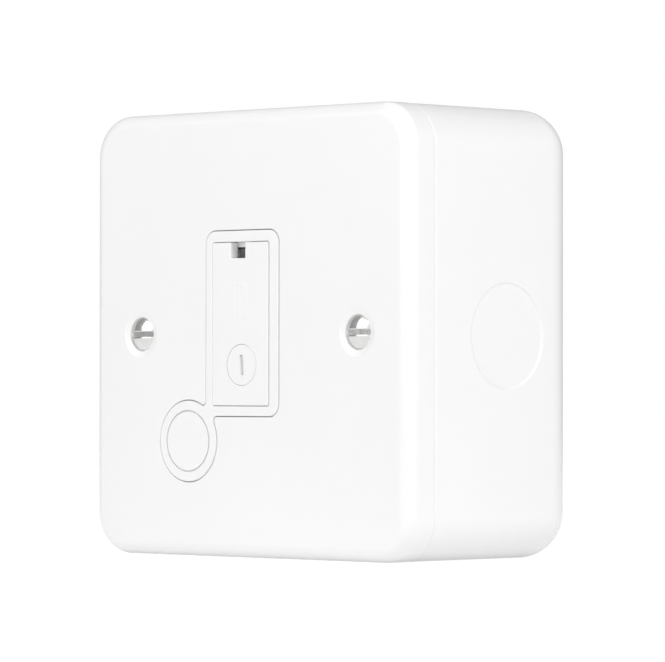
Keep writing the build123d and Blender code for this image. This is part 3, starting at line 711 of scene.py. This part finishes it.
# Fuse carrier
# The flush white moulding that carries the fuse, with a notch at its top to prise it out and the fuse sign
# moulded on its face as a fine raised line. Its play lets it rest a little to the left in its opening.
sign_middle = (-1.98, 6.02)
sign_half = (1.57, 3.48)
sign_corner = 0.4
sign_line_half = 4.8
sign_half_width = 0.17
sign_crown = 0.6 * sign_half_width
sign_line_crown = 0.2 * sign_half_width
sign_height = 0.05
sign_shoulder = 0.75 * sign_height
sign_root = 0.05
carrier_play = np.array([-0.04, 0, 0])
carrier_points, carrier_faces = solid_mesh("fuse_carrier")
make_piece(
    "carrier_moulding",
    [(carrier_points + carrier_play, carrier_faces)],
    white_urea,
    "carrier",
    ["fuse_carrier"],
)
frame_profile = [
    (-sign_half_width, front - sign_root),
    (-sign_half_width, front),
    (-sign_crown, front + sign_shoulder),
    (0, front + sign_height),
    (sign_crown, front + sign_shoulder),
    (sign_half_width, front),
    (sign_half_width, front - sign_root),
    (-sign_half_width, front - sign_root),
]
line_profile = [
    (0, front - sign_root),
    (0, front),
    (sign_half_width - sign_crown, front + sign_shoulder),
    (sign_half_width - sign_line_crown, front + sign_height),
]
shift = np.array([sign_middle[0], 0, sign_middle[1]])
sign_centres = (sign_half[0] - sign_corner, sign_half[1] - sign_corner)
sign_frame = carry_round(frame_profile, *sign_centres, sign_corner, 5) + shift
sign_line = carry_round(line_profile, 0, sign_line_half - sign_half_width, sign_half_width, 5) + shift
sign_patches = [
    skin(sign_frame),
    skin(sign_line),
    fill(sign_line[0][:, [0, 2]], [], at_depth(front - sign_root)),
    fill(sign_line[-1][:, [0, 2]], [], at_depth(front + sign_height)),
]
sign_finish = moulded_plastic("white_urea_sharp", **urea, edge=0)
make_piece("fuse_sign", sign_patches, sign_finish, "carrier")

# Carrier lock
# A flush white disc with a driver slot in the carrier's face. A quarter turn swings its tongue behind the
# housing and holds the carrier in.
make_piece(
    "lock_moulding", [solid_mesh("carrier_lock")], white_urea, "lock", ["carrier_lock"]
)

# Cartridge fuse
# A glazed ceramic tube with a plated brass cap pressed onto each end and held by a rolled groove. It is
# clipped into the back of the carrier.
cap_rounding = 0.5
cap_wall = 0.3
cap_groove = 1.25
cap_groove_half = 0.25
cap_groove_depth = 0.12
cap_steps = 48
ceramic, tree, shader, place = new_finish("glazed_ceramic", IOR=1.52, Coat_Weight=0.4, Coat_Roughness=0.08)
drift = patchy(tree, place, scale=500, detail=3, low=0, high=1)
gloss = patchy(tree, place, scale=700, detail=2, low=0.25, high=0.4)
tree.links.new(tinted(tree, drift, (0.82, 0.8, 0.74), (0.87, 0.85, 0.8)), shader.inputs["Base Color"])
tree.links.new(gloss, shader.inputs["Roughness"])
dress("fuse_tube", ceramic)
for end, upper in (("upper", True), ("lower", False)):
    low, high = (np.array(corner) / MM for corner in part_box(f"fuse_cap_{end}"))
    middle = (low + high) / 2
    reach = (high[0] - low[0]) / 2
    mouth, closed = (low[2], high[2]) if upper else (high[2], low[2])
    length = abs(mouth - closed)
    inward = np.sign(mouth - closed)
    corner = arc((reach - cap_rounding, cap_rounding), cap_rounding, 270, 360, 6)
    profile = np.vstack(
        [
            [(0, 0)],
            corner,
            [
                (reach, cap_groove - cap_groove_half),
                (reach - cap_groove_depth, cap_groove),
                (reach, cap_groove + cap_groove_half),
                (reach, length),
                (reach - cap_wall, length),
                (reach - cap_wall, cap_wall),
                (0, cap_wall),
            ],
        ]
    )
    outlines = [ring((middle[0], middle[1]), radius, cap_steps) for radius in profile[:, 0]]
    cap = carry_outline(outlines, -profile[:, 1])
    cap = np.stack([cap[..., 0], cap[..., 2], closed + inward * cap[..., 1]], axis=-1)
    make_piece(f"plated_cap_{end}", [skin(cap)], nickel, "carrier", [f"fuse_cap_{end}"])

# Studio
# A plain pale floor under the unit, soft light from three large panels, grey cards for the gloss to mirror,
# and the camera close to level off the right front corner.
floor_half = 3.0
floor_shade = 0.12
floor_glow = 0.95
floor_tone = 0.85
floor_lift = 0.1
fill_light = 0.438
floor_mesh = bpy.data.meshes.new("studio_floor")
floor_corners = arc((0, 0), floor_half * math.sqrt(2), 45, 315, 3)
floor_height = np.full((4, 1), -half_width * MM)
floor_mesh.from_pydata(np.hstack([floor_corners, floor_height]).tolist(), [], [(0, 1, 2, 3)])
studio_floor = bpy.data.objects.new("studio_floor", floor_mesh)
bpy.context.scene.collection.objects.link(studio_floor)


def seen_directly(tree):
    """1 where a ray comes from the camera, or from a glossy or clear surface, and otherwise 0."""
    path = tree.nodes.new("ShaderNodeLightPath")
    first = tree.nodes.new("ShaderNodeMath")
    first.operation = "MAXIMUM"
    second = tree.nodes.new("ShaderNodeMath")
    second.operation = "MAXIMUM"
    tree.links.new(path.outputs["Is Camera Ray"], first.inputs[0])
    tree.links.new(path.outputs["Is Glossy Ray"], first.inputs[1])
    tree.links.new(first.outputs[0], second.inputs[0])
    tree.links.new(path.outputs["Is Transmission Ray"], second.inputs[1])
    return second.outputs[0]


pale_floor = bpy.data.materials.new("pale_floor")
pale_floor.use_nodes = True
tree = pale_floor.node_tree
tree.nodes.clear()
matt = add_node(tree, "ShaderNodeBsdfDiffuse", Color=(floor_shade, floor_shade, floor_shade, 1))
glow = add_node(tree, "ShaderNodeEmission", Color=(1, 1, 1, 1), Strength=floor_glow)
lit = tree.nodes.new("ShaderNodeAddShader")
tree.links.new(matt.outputs[0], lit.inputs[0])
tree.links.new(glow.outputs[0], lit.inputs[1])
plain = add_node(tree, "ShaderNodeBsdfDiffuse", Color=(floor_tone, floor_tone, floor_tone, 1))
lift = add_node(tree, "ShaderNodeEmission", Color=(1, 1, 1, 1), Strength=floor_lift)
table = tree.nodes.new("ShaderNodeAddShader")
tree.links.new(plain.outputs[0], table.inputs[0])
tree.links.new(lift.outputs[0], table.inputs[1])
choice = tree.nodes.new("ShaderNodeMixShader")
tree.links.new(seen_directly(tree), choice.inputs[0])
tree.links.new(table.outputs[0], choice.inputs[1])
tree.links.new(lit.outputs[0], choice.inputs[2])
surface = tree.nodes.new("ShaderNodeOutputMaterial")
tree.links.new(choice.outputs[0], surface.inputs["Surface"])
floor_mesh.materials.append(pale_floor)

studio_world = bpy.data.worlds.new("studio_world")
studio_world.use_nodes = True
tree = studio_world.node_tree
tree.nodes.clear()
around = add_node(tree, "ShaderNodeBackground", Color=(1, 1, 1, 1), Strength=fill_light)
backdrop = add_node(tree, "ShaderNodeBackground", Color=(1, 1, 1, 1), Strength=1.0)
choice = tree.nodes.new("ShaderNodeMixShader")
tree.links.new(seen_directly(tree), choice.inputs[0])
tree.links.new(around.outputs[0], choice.inputs[1])
tree.links.new(backdrop.outputs[0], choice.inputs[2])
surface = tree.nodes.new("ShaderNodeOutputWorld")
tree.links.new(choice.outputs[0], surface.inputs["Surface"])
bpy.context.scene.world = studio_world

unit_middle = Vector((0, -24.55 * MM, 0))
panel_distance = 1.5


def bearing(turn, rise):
    """The direction at a turn to the right of straight in front and a rise above level, both in degrees."""
    turn, rise = math.radians(turn), math.radians(rise)
    return Vector((math.sin(turn) * math.cos(rise), -math.cos(turn) * math.cos(rise), math.sin(rise)))


for name, turn, rise, power, width, height in (
    ("front_panel", -25, 20, 8.1, 1.25, 0.85),
    ("side_panel", 80, 10, 4.6, 1.1, 0.85),
    ("upper_panel", 75, 48, 9.75, 1.1, 0.9),
):
    lamp = bpy.data.lights.new(name, "AREA")
    lamp.shape = "RECTANGLE"
    lamp.energy = power
    lamp.size = width
    lamp.size_y = height
    panel = bpy.data.objects.new(name, lamp)
    panel.location = unit_middle + panel_distance * bearing(turn, rise)
    panel.rotation_euler = bearing(turn, rise).to_track_quat("Z", "Y").to_euler()
    panel.visible_camera = False
    bpy.context.scene.collection.objects.link(panel)

card_height = 1.1
for name, turns, grey in (
    ("left_card", (-38, -115, -160), 0.4),
    ("rear_card", (-160, 160, 134), 0.06),
):
    feet = np.array([bearing(turn, 0) for turn in turns])
    feet[:, 2] = -half_width * MM
    top = feet + np.array([0, 0, card_height])
    card_mesh = bpy.data.meshes.new(name)
    card_mesh.from_pydata(np.vstack([feet, top]).tolist(), [], [(0, 1, 4, 3), (1, 2, 5, 4)])
    card = bpy.data.objects.new(name, card_mesh)
    card.visible_camera = False
    card.visible_diffuse = False
    card.visible_shadow = False
    bpy.context.scene.collection.objects.link(card)
    card_finish = bpy.data.materials.new(name)
    card_finish.use_nodes = True
    card_shader = card_finish.node_tree.nodes["Principled BSDF"]
    card_shader.inputs["Base Color"].default_value = (grey, grey, grey, 1)
    card_shader.inputs["Roughness"].default_value = 1.0
    card_mesh.materials.append(card_finish)

camera_turn = 44.45
camera_rise = -0.66
camera_roll = math.radians(0.07)
camera_distance = 0.897
lens = bpy.data.cameras.new("photo_camera")
lens.sensor_width = 36
lens.lens = 243.3
lens.shift_y = 0.005
lens.clip_end = 20
photo_camera = bpy.data.objects.new("photo_camera", lens)
outward = bearing(camera_turn, camera_rise)
photo_camera.location = unit_middle + outward * camera_distance
facing = outward.to_track_quat("Z", "Y") @ Quaternion((0, 0, 1), camera_roll)
photo_camera.rotation_euler = facing.to_euler()
bpy.context.scene.collection.objects.link(photo_camera)
bpy.context.scene.camera = photo_camera
bpy.context.scene.view_settings.view_transform = "Standard"
